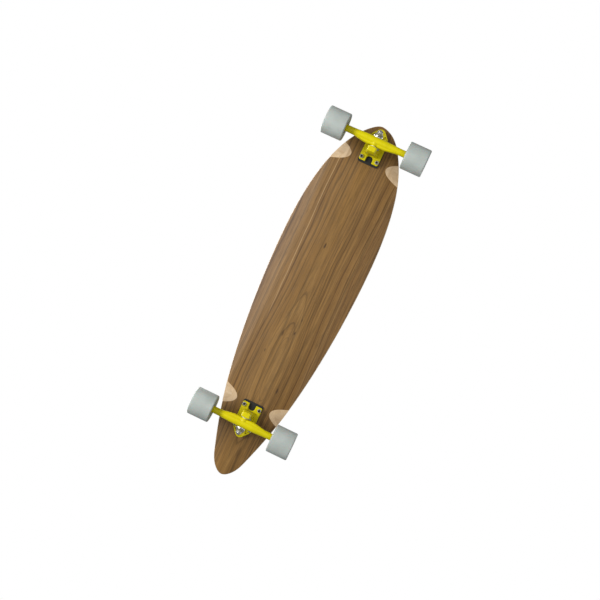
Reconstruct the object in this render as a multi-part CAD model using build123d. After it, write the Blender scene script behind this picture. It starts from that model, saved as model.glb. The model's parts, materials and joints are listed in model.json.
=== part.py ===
from build123d import *
import os
from math import asin, cos, degrees, radians, sin, sqrt

# Pintail longboard standing on its four wheels. Millimetres.
# +X points to the nose, +Y to the rider's left when facing the nose, +Z up.
# The origin is on the ground, under the middle of the deck's length and width.

# ---- deck ----
deck_length = 955.2
veneer = 0.7
maple_ply = 1.9
maple_ply_count = 5
grip_thickness = 0.8
wood_thickness = 2 * veneer + maple_ply_count * maple_ply
deck_thickness = wood_thickness + grip_thickness
concave_radius = 1440.0     # the deck's edges curl up a little
well_cutter_radius = 80.0
well_depth = 4.8            # at the deck's edge
well_inboard = 41.0         # from the axle towards the middle of the board
# For each end of the board, where a well starts and where it reaches its depth, from the middle line.
well_reach = {1: (42.5, 84.0), -1: (40.5, 80.0)}

# The left half of the outline: distance from the nose tip, and half width there.
outline = [
    (0, 0), (11, 27.5), (51, 62), (121, 93.3), (201, 111), (291, 119.2), (381, 119.9),
    (501, 115), (621, 104), (741, 85.7), (841, 61.8), (901, 43), (940, 24.2), (deck_length, 0),
]

outline_arcs = 24           # edges that the smooth outline is cut into

# ---- stance ----
wheel_radius = 35.0
wheelbase = 755.0
nose_overhang = 52.6        # nose tip to the front axle
front_axle_x = deck_length / 2 - nose_overhang
wheelbase_middle_x = front_axle_x - wheelbase / 2

# ---- truck, in its own frame: X outward to the nearer end of the board, Z up ----
# Its origin is on the face that meets the riser pad, straight above the axle.
truck_height = 70.6         # mounting face to axle
riser_thickness = 3.2
steering_angle = 48.0       # steering axis above the horizontal
kingpin_to_axle = 23.5      # axle to kingpin line, measured along the steering axis
rake = 14.0                 # axle to steering axis
pivot_distance = 41.0       # kingpin line to pivot ball
steering_range = 18.0

bolt_spacing_across = 41.3
bolt_spacing_along = 54.0
inner_bolt_x = -36.9
bolt_hole_radius = 2.75
bolt_radius = 2.4
bolt_tip = 1.5              # bolt beyond its nut
bolt_head_radius = 4.7
bolt_head_depth = 2.8
bolt_nut_flats = 9.5
bolt_nut_height = 5.0
bolt_collar_radius = 4.3    # round end of a locking nut
bolt_collar_height = 1.5
bolt_socket_flats = 2.8
bolt_socket_depth = 1.6
seat_clearance = 0.2
nut_seat_radius = 6.4       # room around each nut for a socket

plate_thickness = 7.0
plate_half_width = 26.0
ear_end_x = -44.5
plate_corner_x = 22.0
tongue_centre_x = 31.0
tongue_radius = 12.5
slot_half_width = 8.7
slot_end_x = -28.0
rim_depth = 4.5             # the raised rim outboard of the outer bolts
rim_width = 3.0
seat_half_width = 14.0      # wedge under the plate that the kingpin is seated in
tower_half_width = 11.3     # block that the pivot barrel is cast into
tower_rounding = 4.0
riser_margin = 2.0          # riser pad beyond the plate's outer end
riser_inboard_margin = 4.8

kingpin_radius = 4.76
kingpin_flats = 14.3
kingpin_head_height = 6.5
ring_half_thickness = 4.0
ring_radius = 17.5
boardside_height = 14.5
roadside_height = 13.0
cup_washer = 2.0
cup_washer_radius = 11.2
boss_depth = 8.5            # metal between the lower washer and the kingpin's head
kingpin_nut_height = 7.0
kingpin_collar_radius = 6.4
kingpin_collar_height = 2.5
kingpin_tip = 12.0          # kingpin beyond the lower washer
bushing_clearance = 0.3

pivot_ball_radius = 5.2
pivot_ball_clearance = 0.15
pivot_pin_radius = 8.6
pivot_cup_radius = 7.5
pivot_barrel_radius = 9.6
pivot_barrel_mouth = 5.0    # from the ball's centre to the barrel's mouth
pivot_barrel_floor = 6.5
pivot_barrel_end = 9.0

# ---- axle and wheels ----
axle_radius = 4.0
axle_half_length = 125.0
hanger_half_width = 90.0
hanger_end_radius = 8.5
hanger_middle_radius = 10.3
hanger_middle_y = 26.0      # half length of the hanger's thick middle
hanger_taper_y = 62.0
speed_washer = 1.0
axle_nut_flats = 13.0
axle_nut_height = 7.0
bearing_radius = 11.0
bearing_width = 7.0
bearing_gap = 10.0          # spacer length between the two bearings of a wheel
wheel_width = 55.0
wheel_centre_y = 105.9
core_radius = 17.5
core_overhang = 0.5         # core beyond each bearing face
ball_count = 7
ball_radius = 1.98
ball_pitch_radius = 7.6
groove_radius = 2.03
race_inner_radius = 6.0
race_outer_radius = 9.2
shield_inner_z = 2.6
shield_outer_z = 3.1
lip_radius = 3.2            # rounding of the tyre's edges
through = 40.0              # long enough for a cutter to pass right through

# ---- worked out from the above ----
steer = radians(steering_angle)
along = Vector(cos(steer), 0, sin(steer))      # up the steering axis
down = Vector(sin(steer), 0, -cos(steer))      # down the kingpin, head to nut
axle_point = Vector(0, 0, -truck_height)
ring_centre = axle_point + along * kingpin_to_axle - down * rake
pivot_point = ring_centre - along * pivot_distance
pin_direction = (axle_point - pivot_point).normalized()
seat_distance = ring_half_thickness + boardside_height + cup_washer
head_distance = seat_distance + boss_depth
core_centre_y = hanger_half_width + speed_washer + bearing_width + bearing_gap / 2
core_half_width = bearing_width + bearing_gap / 2 + core_overhang
bearing_end = core_centre_y + bearing_width + bearing_gap / 2
underside_height = wheel_radius + truck_height + riser_thickness
kingpin_plane = Plane(origin=ring_centre, x_dir=(0, 1, 0), z_dir=down)
pivot_plane = Plane(origin=pivot_point, x_dir=(0, 1, 0), z_dir=pin_direction)
bolt_centres = [
    (x, side * bolt_spacing_across / 2)
    for x in (inner_bolt_x, inner_bolt_x + bolt_spacing_along)
    for side in (-1, 1)
]
os.makedirs("parts", exist_ok=True)


def save(name, shape):
    export_step(shape, "parts/" + name + ".step")


def rod(radius, low, high):
    """Cylinder on the Z axis between two heights."""
    return Pos(0, 0, low) * Cylinder(radius, high - low, align=(Align.CENTER, Align.CENTER, Align.MIN))


def hex_prism(flats, low, high):
    """Hexagonal bar on the Z axis between two heights."""
    section = RegularPolygon(radius=flats / 2, side_count=6, major_radius=False)
    return extrude(Pos(0, 0, low) * section, amount=high - low)


def turned(points):
    """Solid of revolution about Z from (radius, height) corners."""
    section = make_face(Polyline(*[(r, 0, z) for r, z in points], close=True))
    return revolve(section, axis=Axis.Z)


def side_plate(points, half_width):
    """Plate with its outline in the truck's XZ plane, centred on the middle."""
    section = make_face(Polyline(*[(x, 0, z) for x, z in points], close=True))
    return extrude(section, amount=half_width, dir=(0, 1, 0), both=True)


def on_truck_side(u_offset, k_offset):
    """Point of the truck's XZ plane from offsets along the steering axis and down the kingpin."""
    point = ring_centre + along * u_offset + down * k_offset
    return (point.X, point.Z)


def place_truck(shape, end):
    """Moves a truck part under the front (end = 1) or the rear (end = -1) of the deck."""
    turn = 0 if end == 1 else 180
    axle_x = wheelbase_middle_x + end * wheelbase / 2
    return Pos(axle_x, 0, wheel_radius + truck_height) * Rot(0, 0, turn) * shape


def place_wheel(shape, end, side, distance):
    """Stands a Z-axis part on the axle at a distance from the board's middle; +Z faces outboard."""
    axle_x = wheelbase_middle_x + end * wheelbase / 2
    return Pos(axle_x, side * distance, wheel_radius) * Rot(-90 * side, 0, 0) * shape


# ---- deck ----
def deck_slab(lower, upper):
    """Layer of the deck between two heights above its underside, curled up at the sides."""
    slab_half_width = 150.0
    half_angle = asin(slab_half_width / concave_radius)

    def across(offset):
        radius = concave_radius - offset
        edge_y = radius * sin(half_angle)
        edge_z = underside_height + concave_radius - radius * cos(half_angle)
        return ThreePointArc((0, -edge_y, edge_z), (0, 0, underside_height + offset), (0, edge_y, edge_z))

    bottom = across(lower)
    top = across(upper)
    section = make_face([bottom, Line(bottom @ 1, top @ 1), top, Line(top @ 0, bottom @ 0)])
    return extrude(section, amount=deck_length / 2 + through, dir=(1, 0, 0), both=True)


def deck_outline():
    """Vertical prism with the pintail's outline."""
    left = [(deck_length / 2 - s, half_width) for s, half_width in outline]
    right = [(x, -y) for x, y in reversed(left[1:-1])]
    loop = Spline(*left, *right, periodic=True)
    arcs = [loop.trim(step / outline_arcs, (step + 1) / outline_arcs) for step in range(outline_arcs)]
    return extrude(make_face(arcs), amount=underside_height + through, dir=(0, 0, 1))


def underside_z(y):
    """Height of the deck's underside at a distance from its middle line."""
    return underside_height + concave_radius - sqrt(concave_radius**2 - y**2)


def wheel_wells():
    """Four shallow scoops that let the wheels pass the deck's edges in a hard turn."""
    bar = Rot(90, 0, 0) * Cylinder(well_cutter_radius, 2 * deck_length)
    bar = Pos(0, 0, -well_cutter_radius) * bar
    wells = []
    for end, (inner_y, edge_y) in well_reach.items():
        x = wheelbase_middle_x + end * (wheelbase / 2 - well_inboard)
        rise = underside_z(edge_y) + well_depth - underside_z(inner_y)
        slope = degrees(asin(rise / (edge_y - inner_y)))
        for side in (-1, 1):
            start = Pos(x, side * inner_y, underside_z(inner_y))
            wells.append(start * Rot(side * slope, 0, 0) * bar)
    return wells


def bolt_holes():
    """Bolt holes through the deck, with seats for the countersunk heads."""
    drill = rod(bolt_hole_radius, -through, through)
    top = riser_thickness + deck_thickness
    seat_radius = bolt_head_radius + seat_clearance
    seat = turned([
        (0, top + 1), (seat_radius, top + 1), (seat_radius, top),
        (bolt_hole_radius, top - bolt_head_depth), (0, top - bolt_head_depth),
    ])
    tools = []
    for end in (1, -1):
        for x, y in bolt_centres:
            tools.append(place_truck(Pos(x, y, 0) * (drill + seat), end))
    return tools


outline_prism = deck_outline()
wells = wheel_wells()
holes = bolt_holes()
layers = [("bottom_veneer", veneer)]
layers += [("maple_ply_" + str(number), maple_ply) for number in range(1, maple_ply_count + 1)]
layers += [("top_veneer", veneer), ("grip_tape", grip_thickness)]
height = 0.0
for name, thickness in layers:
    layer = deck_slab(height, height + thickness) & outline_prism
    layer = layer - holes
    if height < well_depth:
        layer = layer - wells
    save(name, layer)
    height += thickness
deck_space = deck_slab(0, through)


# ---- truck parts ----
def riser_pad():
    """Black rubber pad, cut to the deck's curve on top."""
    corner = 5.0
    outer_x = plate_corner_x + riser_margin
    inner_x = ear_end_x - riser_inboard_margin
    outline = RectangleRounded(outer_x - inner_x, 2 * (plate_half_width + riser_margin / 2), corner)
    pad = extrude(Pos((outer_x + inner_x) / 2, 0) * outline, amount=2 * riser_thickness)
    for x, y in bolt_centres:
        pad -= Pos(x, y, 0) * rod(bolt_hole_radius, -through, through)
    return pad


def plate_outline():
    """Seen from below: two ears inboard, two corners and a round tongue outboard."""
    corner = 3.0
    ear_corner = 4.0
    rounds = [Pos(tongue_centre_x, 0) * Circle(tongue_radius)]
    for side in (-1, 1):
        outer = Pos(plate_corner_x - corner, side * (plate_half_width - corner))
        inner = Pos(ear_end_x + ear_corner, side * (plate_half_width - ear_corner))
        rounds += [outer * Circle(corner), inner * Circle(ear_corner)]
    return make_hull(Sketch(children=rounds).edges())


def raised_rim(shape):
    """Rim along the outline outboard of the outer bolts, and the ring around the tongue."""
    start_x = 8.0
    boss_wall = 4.0
    low = -plate_thickness - rim_depth
    outboard = Pos(start_x, 0) * Rectangle(60, 80, align=(Align.MIN, Align.CENTER))
    rim = extrude((shape - offset(shape, -rim_width)) & outboard, amount=-rim_depth)
    boss = rod(tongue_radius, low, -plate_thickness)
    boss -= rod(tongue_radius - boss_wall, low, 1 - plate_thickness)
    return Pos(0, 0, -plate_thickness) * rim + Pos(tongue_centre_x, 0, 0) * boss


def kingpin_seat():
    """Wedge under the plate, with its lower face square to the kingpin."""
    top = -3.0
    inner = on_truck_side(-15.5, -seat_distance)
    outer = on_truck_side(32, -seat_distance)
    return side_plate([(slot_end_x, top), (slot_end_x, inner[1] - 3), inner, outer, (outer[0], top)],
                      seat_half_width)


def pivot_tower():
    """Rounded block standing on the plate, with the barrel that carries the pivot cup."""
    x = pivot_point.X
    z = pivot_point.Z
    block = side_plate([(slot_end_x, 1 - plate_thickness), (x - 10.5, z + 2), (x - 7, z - 10.3),
                        (x + pivot_barrel_mouth, z - 9.6), (x + pivot_barrel_mouth, z + 6), (x + 3.5, -38),
                        (x + 3.5, 1 - plate_thickness)],
                       tower_half_width)
    sides = block.edges().filter_by(lambda edge: abs(edge.center().Y) > tower_half_width - 0.1)
    rounded = [edge for edge in sides if edge.center().X < x + 3 and edge.center().Z < -plate_thickness]
    block = fillet(rounded, tower_rounding)
    return block + pivot_plane * rod(pivot_barrel_radius, -pivot_barrel_end, pivot_barrel_mouth)


def access_slot():
    """Open slot between the ears that gives a wrench access to the kingpin's head."""
    centre = slot_end_x - slot_half_width
    slot = Pos(centre, 0) * Circle(slot_half_width)
    slot += Pos(centre, 0) * Rectangle(through, 2 * slot_half_width, align=(Align.MAX, Align.CENTER))
    return extrude(slot, amount=-plate_thickness - 1)


def baseplate():
    """Cast plate with ears, kingpin seat, pivot barrel and a tongue with a raised rim."""
    shape = plate_outline()
    body = extrude(shape, amount=-plate_thickness) + raised_rim(shape) + kingpin_seat() + pivot_tower()
    body -= access_slot()
    body -= kingpin_plane * rod(slot_half_width, -head_distance - through, -head_distance)
    body -= kingpin_plane * rod(kingpin_radius, -head_distance - 1, 0)
    body -= pivot_plane * rod(pivot_cup_radius, -pivot_barrel_floor, pivot_barrel_mouth + 1)
    body -= pivot_plane * rod(pivot_barrel_radius, pivot_barrel_mouth, pivot_barrel_mouth + 3)
    for x, y in bolt_centres:
        body -= Pos(x, y, 0) * rod(bolt_hole_radius, -through, 1)
        body -= Pos(x, y, 0) * rod(nut_seat_radius, -through, -plate_thickness)
    return body


def kingpin():
    """Hex-headed bolt that the bushings are stacked on."""
    tip = ring_half_thickness + roadside_height + cup_washer + kingpin_tip
    tip_chamfer = 0.8
    bolt = rod(kingpin_radius, -head_distance, tip)
    bolt = chamfer(bolt.edges().sort_by(Axis.Z)[-1], tip_chamfer)
    bolt += hex_prism(kingpin_flats, -head_distance - kingpin_head_height, -head_distance)
    return kingpin_plane * bolt


def kingpin_nut():
    """Hexagon nut with a locking collar."""
    low = ring_half_thickness + roadside_height + cup_washer
    high = low + kingpin_nut_height
    nut = hex_prism(kingpin_flats, low, high) + rod(kingpin_collar_radius, high, high + kingpin_collar_height)
    return kingpin_plane * (nut - rod(kingpin_radius, low, high + kingpin_collar_height))


def boardside_bushing():
    """Barrel bushing between the baseplate and the hanger's ring."""
    bore = kingpin_radius + bushing_clearance
    low = -ring_half_thickness - boardside_height
    high = -ring_half_thickness
    return kingpin_plane * turned([
        (bore, low), (11.5, low), (13.6, low + 3), (13.6, high - 3), (12.8, high), (bore, high),
    ])


def roadside_bushing():
    """Cone bushing between the hanger's ring and the cup washer."""
    bore = kingpin_radius + bushing_clearance
    low = ring_half_thickness
    high = low + roadside_height
    return kingpin_plane * turned([
        (bore, low), (12.6, low), (12.6, low + 2.5), (9.4, high), (bore, high),
    ])


def bushing_washers():
    """Cup washers at the two ends of the bushing stack."""
    lower = ring_half_thickness + roadside_height
    upper = -ring_half_thickness - boardside_height
    dish = cup_washer_radius - 1.1
    cup = turned([
        (kingpin_radius, 0), (dish, 0), (dish, -1.6), (cup_washer_radius, -1.6), (cup_washer_radius, 0.6),
        (dish, cup_washer), (kingpin_radius, cup_washer),
    ])
    wide = turned([
        (kingpin_radius, 0), (12, 0), (12, -0.4), (13, 0.2), (13, cup_washer), (kingpin_radius, cup_washer),
    ])
    return [kingpin_plane * Pos(0, 0, lower) * cup,
            kingpin_plane * Pos(0, 0, upper) * Rot(180, 0, 0) * wide]


def pivot_cup():
    """Socket liner that the hanger's pivot ball turns in, with a lip outside the barrel."""
    mouth = pivot_barrel_mouth + 1.5
    floor = -pivot_barrel_floor
    socket = pivot_ball_radius + pivot_ball_clearance
    lining = turned([
        (0, floor), (pivot_cup_radius, floor), (pivot_cup_radius, pivot_barrel_mouth),
        (8.1, pivot_barrel_mouth), (8.1, mouth - 0.4), (7.8, mouth), (7.3, mouth), (socket, 0), (0, 0),
    ])
    return pivot_plane * (lining - Sphere(socket))


def hanger_arm():
    """Round arm across the truck, thick in the middle, with a shoulder for each speed washer."""
    end = hanger_half_width
    shoulder = 7.4
    half = [(hanger_middle_radius, hanger_middle_y), (hanger_end_radius, hanger_taper_y),
            (hanger_end_radius, end - 3), (shoulder, end - 2), (shoulder, end), (0, end)]
    arm = turned([(radius, -y) for radius, y in reversed(half)] + half)
    return Pos(axle_point) * Rot(90, 0, 0) * arm


def hanger_belly():
    """Flat-sided web on the inboard side of the arm."""
    depth = 13.6
    half_height = 7.0
    edge_round = 5.0
    side = [(0, hanger_taper_y + 2), (-7.5, hanger_taper_y), (-depth, hanger_middle_y)]
    outline = Polyline(*side, *[(x, -y) for x, y in reversed(side)], close=True)
    belly = Pos(axle_point) * Pos(0, 0, -half_height) * extrude(make_face(outline), amount=2 * half_height)
    edges = belly.edges().filter_by(GeomType.LINE).filter_by_position(Axis.X, -depth - 1, -5)
    return fillet(edges, edge_round)


def hanger_yoke():
    """Ring around the kingpin and the web that joins it to the arm, narrowed towards the ring."""
    ring = kingpin_plane * rod(ring_radius, -ring_half_thickness, ring_half_thickness)
    corners = [(-9, -4), (-9, 4), (-14, 4.3), (-15.5, 9), (-17, rake), (-26, rake), (-27, 5), (-20, -3)]
    web = side_plate([on_truck_side(*corner) for corner in corners], hanger_middle_y + 1)
    right = [(hanger_middle_y + 1, 26), (16.8, -8), (16.8, -30)]
    left = [(-y, x) for y, x in reversed(right)]
    taper = make_face(Polyline(*right, *left, close=True))
    taper = Plane(origin=ring_centre, x_dir=(0, 1, 0), z_dir=down) * extrude(taper, amount=60, both=True)
    return ring + (web & taper)


def hanger_pivot():
    """Pin that flares from the pivot ball to the arm."""
    reach = (axle_point - pivot_point).length
    ball = pivot_ball_radius
    pin = turned([(0, 0), (ball, 0), (ball, 7.8), (7.4, 10.8), (pivot_pin_radius, 12.8),
                  (pivot_pin_radius, reach), (0, reach)])
    return pivot_plane * (pin + Sphere(ball))


def hanger():
    """Casting that holds the axle, with the bushing ring and the pivot pin."""
    body = hanger_arm() + hanger_belly() + hanger_yoke() + hanger_pivot()
    bore_end = hanger_half_width + 1
    body -= Pos(axle_point) * Rot(90, 0, 0) * rod(axle_radius, -bore_end, bore_end)
    body -= kingpin_plane * rod(7.5, -ring_half_thickness - 1, ring_half_thickness + 1)
    bushing_room = turned([(0, 4), (13.2, 4), (13.2, 7), (11.4, 18), (11.4, through), (0, through)])
    return body - kingpin_plane * bushing_room


def axle():
    bar = rod(axle_radius, -axle_half_length, axle_half_length)
    bar = chamfer(bar.edges().filter_by(GeomType.CIRCLE), 0.7)
    return Pos(axle_point) * Rot(90, 0, 0) * bar


def on_axle(parts):
    """The same parts at both ends of a truck's axle."""
    group = []
    for side in (-1, 1):
        for part in parts:
            group.append(Pos(axle_point) * Rot(-90 * side, 0, 0) * part)
    return group


def speed_washers():
    """Thin washers each side of the bearings."""
    ring = rod(6.2, 0, speed_washer) - rod(axle_radius, 0, speed_washer)
    return on_axle([Pos(0, 0, hanger_half_width) * ring, Pos(0, 0, bearing_end) * ring])


def axle_nuts():
    """Hexagon nuts with a locking collar, at the axle's ends."""
    collar = 2.0
    low = bearing_end + speed_washer
    high = low + axle_nut_height
    nut = hex_prism(axle_nut_flats, low, high - collar) + rod(6, high - collar, high)
    return on_axle([nut - rod(axle_radius, low, high)])


def mounting_bolts():
    """Countersunk bolts, heads flush with the grip tape."""
    top = riser_thickness + deck_thickness
    tip = -plate_thickness - bolt_nut_height - bolt_tip
    bolt = turned([
        (0, tip), (bolt_radius - 0.4, tip), (bolt_radius, tip + 0.5), (bolt_radius, top - bolt_head_depth),
        (bolt_head_radius, top - 0.2), (bolt_head_radius, top), (0, top),
    ])
    bolt -= hex_prism(bolt_socket_flats, top - bolt_socket_depth, top + 1)
    return [Pos(x, y, 0) * bolt for x, y in bolt_centres]


def mounting_nuts():
    """Hexagon nuts with a locking collar, under the baseplate."""
    top = -plate_thickness
    low = top - bolt_nut_height
    nut = hex_prism(bolt_nut_flats, low + bolt_collar_height, top)
    nut += rod(bolt_collar_radius, low, low + bolt_collar_height)
    nut -= rod(bolt_radius, low, top)
    return [Pos(x, y, 0) * nut for x, y in bolt_centres]


# ---- bearings and wheels, on the Z axis with +Z outboard ----
def in_both_bearings(part):
    """The same part in the two bearings of one wheel, about the core's middle."""
    middle = (bearing_gap + bearing_width) / 2
    return [Pos(0, 0, -middle) * Rot(180, 0, 0) * part, Pos(0, 0, middle) * part]


def groove():
    return Torus(ball_pitch_radius, groove_radius)


def inner_race():
    half = bearing_width / 2
    return rod(race_inner_radius, -half, half) - rod(axle_radius, -half, half) - groove()


def outer_race():
    half = bearing_width / 2
    return rod(bearing_radius, -half, half) - rod(race_outer_radius, -half, half) - groove()


def balls():
    return list(PolarLocations(ball_pitch_radius, ball_count) * Sphere(ball_radius))


def shield_pair():
    """The two thin dust shields of one bearing."""
    inner_edge = race_inner_radius + 0.45
    plate = rod(race_outer_radius, shield_inner_z, shield_outer_z)
    plate -= rod(inner_edge, shield_inner_z, shield_outer_z)
    return [plate, Rot(180, 0, 0) * plate]


def wheel_core():
    """Hub moulded into the tyre, with a seat for each bearing."""
    stop_radius = 9.8
    inner = bearing_gap / 2
    return turned([
        (bearing_radius, inner), (stop_radius, inner), (stop_radius, -inner), (bearing_radius, -inner),
        (bearing_radius, -core_half_width), (core_radius, -core_half_width),
        (core_radius, core_half_width), (bearing_radius, core_half_width),
    ])


def wheel_tyre():
    """Poured urethane tyre with rounded lips and dished sides, about the wheel's own middle."""
    half = wheel_width / 2
    shift = core_centre_y - wheel_centre_y
    mouth = 13.4
    step = 15.4
    dish = (core_radius, 26.0)
    face = 27.5

    def side(sign):
        core_z = shift + sign * core_half_width
        return [(core_radius, core_z), (mouth, core_z), (step, sign * (half - 0.9)),
                (dish[0], sign * (half - 1.2)), (dish[1], sign * (half - 1.2)), (face, sign * half),
                (wheel_radius, sign * half)]

    points = side(-1) + list(reversed(side(1)))
    section = make_face(Polyline(*[(r, 0, z) for r, z in points], close=True))
    section = fillet(section.vertices().group_by(Axis.X)[-1], lip_radius)
    return revolve(section, axis=Axis.Z)


single_parts = {
    "baseplate": baseplate, "kingpin": kingpin, "kingpin_nut": kingpin_nut, "pivot_cup": pivot_cup,
    "boardside_bushing": boardside_bushing, "roadside_bushing": roadside_bushing, "hanger": hanger,
    "axle": axle,
}
grouped_parts = {
    "bushing_washers": bushing_washers, "speed_washers": speed_washers, "axle_nuts": axle_nuts,
    "mounting_bolts": mounting_bolts, "mounting_nuts": mounting_nuts,
}

bearing_shift = Pos(0, 0, core_centre_y)
inner_races = on_axle([bearing_shift * part for part in in_both_bearings(inner_race())])
spacer_tube = rod(race_inner_radius, -bearing_gap / 2, bearing_gap / 2)
spacer_tube -= rod(axle_radius, -bearing_gap / 2, bearing_gap / 2)
spacers = on_axle([bearing_shift * spacer_tube])
ball_sets = []
for ball in balls():
    ball_sets += in_both_bearings(ball)
bearing_balls = on_axle([bearing_shift * ball for ball in ball_sets])
shields = []
for shield in shield_pair():
    shields += in_both_bearings(shield)

for end, end_name in ((1, "front"), (-1, "rear")):
    pad = place_truck(riser_pad(), end) - deck_space
    save(end_name + "_riser_pad", pad)
    for name, make in single_parts.items():
        save(end_name + "_" + name, place_truck(make(), end))
    groups = {name: make() for name, make in grouped_parts.items()}
    groups["bearing_inner_races"] = inner_races
    groups["bearing_spacers"] = spacers
    groups["bearing_balls"] = bearing_balls
    for name, group in groups.items():
        save(end_name + "_" + name, Compound(children=[place_truck(part, end) for part in group]))

    for side, side_name in ((1, "left"), (-1, "right")):
        prefix = end_name + "_" + side_name + "_"
        save(prefix + "wheel_tyre", place_wheel(wheel_tyre(), end, side, wheel_centre_y))
        save(prefix + "wheel_core", place_wheel(wheel_core(), end, side, core_centre_y))
        races = [place_wheel(race, end, side, core_centre_y) for race in in_both_bearings(outer_race())]
        save(prefix + "bearing_outer_races", Compound(children=races))
        covers = [place_wheel(shield, end, side, core_centre_y) for shield in shields]
        save(prefix + "bearing_shields", Compound(children=covers))

# The joint origins and axes that the record repeats.
for end, end_name in ((1, "front"), (-1, "rear")):
    marker = place_truck(Pos(ring_centre) * Rot(0, 90 - steering_angle, 0), end)
    print(end_name, "steering axis through", marker.position, "along", Plane(marker).z_dir)
    print(end_name, "axle at", wheelbase_middle_x + end * wheelbase / 2, wheel_radius)
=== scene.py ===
"""Looks of a pintail longboard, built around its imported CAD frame. Lengths are in metres."""
import json
import math

import bmesh
import bpy
from mathutils import Matrix, Vector


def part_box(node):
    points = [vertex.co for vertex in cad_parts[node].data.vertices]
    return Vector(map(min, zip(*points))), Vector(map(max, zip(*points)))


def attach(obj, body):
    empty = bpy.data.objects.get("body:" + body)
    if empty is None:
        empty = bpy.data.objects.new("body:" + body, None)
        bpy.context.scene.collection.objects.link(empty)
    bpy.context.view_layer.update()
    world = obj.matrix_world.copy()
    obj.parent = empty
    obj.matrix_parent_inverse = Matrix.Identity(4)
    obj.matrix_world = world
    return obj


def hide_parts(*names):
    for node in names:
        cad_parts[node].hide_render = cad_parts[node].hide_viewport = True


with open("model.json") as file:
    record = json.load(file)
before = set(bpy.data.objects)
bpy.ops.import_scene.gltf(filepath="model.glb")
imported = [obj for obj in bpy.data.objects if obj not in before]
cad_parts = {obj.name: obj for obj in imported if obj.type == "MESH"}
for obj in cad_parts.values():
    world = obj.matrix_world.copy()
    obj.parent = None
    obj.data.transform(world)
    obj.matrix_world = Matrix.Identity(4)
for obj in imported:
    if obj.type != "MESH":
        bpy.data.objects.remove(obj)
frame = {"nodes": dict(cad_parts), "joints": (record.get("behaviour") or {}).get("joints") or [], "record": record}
nodes = frame["nodes"]
joints = {joint["name"]: joint for joint in frame["joints"]}
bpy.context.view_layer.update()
ENDS = {"front": 1, "rear": -1}
SIDES = {"left": 1, "right": -1}

# ---- sizes that the CAD has too ----
CONCAVE_RADIUS = 1.440
RISER_THICKNESS = 0.0032
UNDERSIDE_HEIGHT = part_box("front_riser_pad")[0].z + RISER_THICKNESS
WOOD_THICKNESS = 0.0109
GRIP_THICKNESS = 0.0008

KINGPIN_RADIUS = 0.00476
KINGPIN_FLATS = 0.0143
KINGPIN_HEAD = 0.0065
BOLT_RADIUS = 0.0024
BOLT_HEAD_RADIUS = 0.0047
BOLT_HEAD_DEPTH = 0.0028
BOLT_SOCKET_FLATS = 0.0028
BOLT_SOCKET_DEPTH = 0.0016
BOLT_NUT_FLATS = 0.0095
AXLE_RADIUS = 0.004
AXLE_NUT_FLATS = 0.013
AXLE_NUT_HEIGHT = 0.007
SPEED_WASHER = 0.001
SPEED_WASHER_RADIUS = 0.0062

BEARING_RADIUS = 0.011
BEARING_WIDTH = 0.007
BEARING_GAP = 0.010         # between the two bearings of a wheel
RACE_BORE = 0.0092
BALL_PITCH_RADIUS = 0.0076
GROOVE_RADIUS = 0.00203
CORE_RADIUS = 0.0175
CORE_BORE = 0.0098
CORE_HALF_WIDTH = 0.0125
LIP_RADIUS = 0.0032

# ---- sizes that only the looks have ----
LOWER_ROUND = 0.0028        # rounding of the deck's lower and upper edges
UPPER_ROUND = 0.0020
BOLT_HOLE_MARGIN = 0.012    # walls this near a bolt's axis are a hole, not the deck's edge

# Length, pitch and depth of each screw thread.
KINGPIN_THREAD = (0.007, 0.00106, 0.0006)
AXLE_THREAD = (0.008, 0.001, 0.0006)
BOLT_THREAD = (0.005, 0.0008, 0.0004)

# Height of the round collar on each locking nut.
KINGPIN_COLLAR = 0.0025
AXLE_COLLAR = 0.002
BOLT_COLLAR = 0.0015
COLLAR_SHARE = 0.455        # collar's radius over the nut's width across the flats
COLLAR_WALL = 0.0012

# Rolled lip of that collar: distance in from its rim, and depth below its top.
COLLAR_LIP = [(0.0, 0.0005), (0.0002, 0.0001), (0.0006, 0.0), (0.0010, 0.0001), (COLLAR_WALL, 0.0005)]

NUT_FACE_SHARE = 0.46       # radius of a nut's flat face over its width across the flats
NUT_FACE_STEP = 0.0002      # from that face to the hexagon, and from the hexagon to the collar
RING_SEAT = 0.0006          # depths below the nut's top: floor of the recess, nylon ring's foot and top
RING_DEPTH = 0.0010
RING_TOP = 0.0001

# Kingpin's head: radius and depth of the dish's floor, its rim, and the collar under the head.
KINGPIN_DISH = (0.0042, 0.0006)
KINGPIN_RIM_RADIUS = 0.0052
KINGPIN_FACE_RADIUS = 0.0062

# How much each shank's tip is turned down, and the centre mark in an axle's end: two radii, a depth.
KINGPIN_TIP = 0.0012
AXLE_TIP = 0.0014
BOLT_TIP = 0.0008
CENTRE_MARK = (0.0011, 0.0004, 0.0009)

SOCKET_TAPER = 0.0002       # how much narrower a socket is at its floor, and depth of its round mouth
SOCKET_MOUTH_RADIUS = 0.0019
BOLT_HEAD_EDGE = (0.0003, 0.0002, 0.0004)    # broken edge's width and depth, and depth of the rim

BUSHING_PLAY = 0.0003       # room round the kingpin
BUSHING_MOUTH = 0.0005      # rounding at the bore
CONE_FOOT = 0.0012          # rounding of the cone's widest edge
CONE_SHOULDER = (0.003, 0.002)    # height above the foot, and rounding
CONE_TOP = (0.0094, 0.0010)       # radius and rounding

# Foot, middle and top of the barrel's side: distance in from its widest radius, and rounding.
BARREL_SIDE = [(0.0018, 0.0014), (0.0, 0.009), (0.0010, 0.0010)]

# Groove round each bearing in a core's face: radius, depth below the face, rounding.
CORE_GROOVE = [
    (0.0121, 0.0, 0.0002), (0.0123, 0.0003, 0.0001), (0.0130, 0.0003, 0.0001), (0.0132, 0.0, 0.0002),
]
BEARING_SEAT_EDGE = 0.0003  # roundings of a core's edges, and of a race's outer and inner edges
RACE_EDGE = 0.0004
RACE_BORE_EDGE = 0.0002

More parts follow.
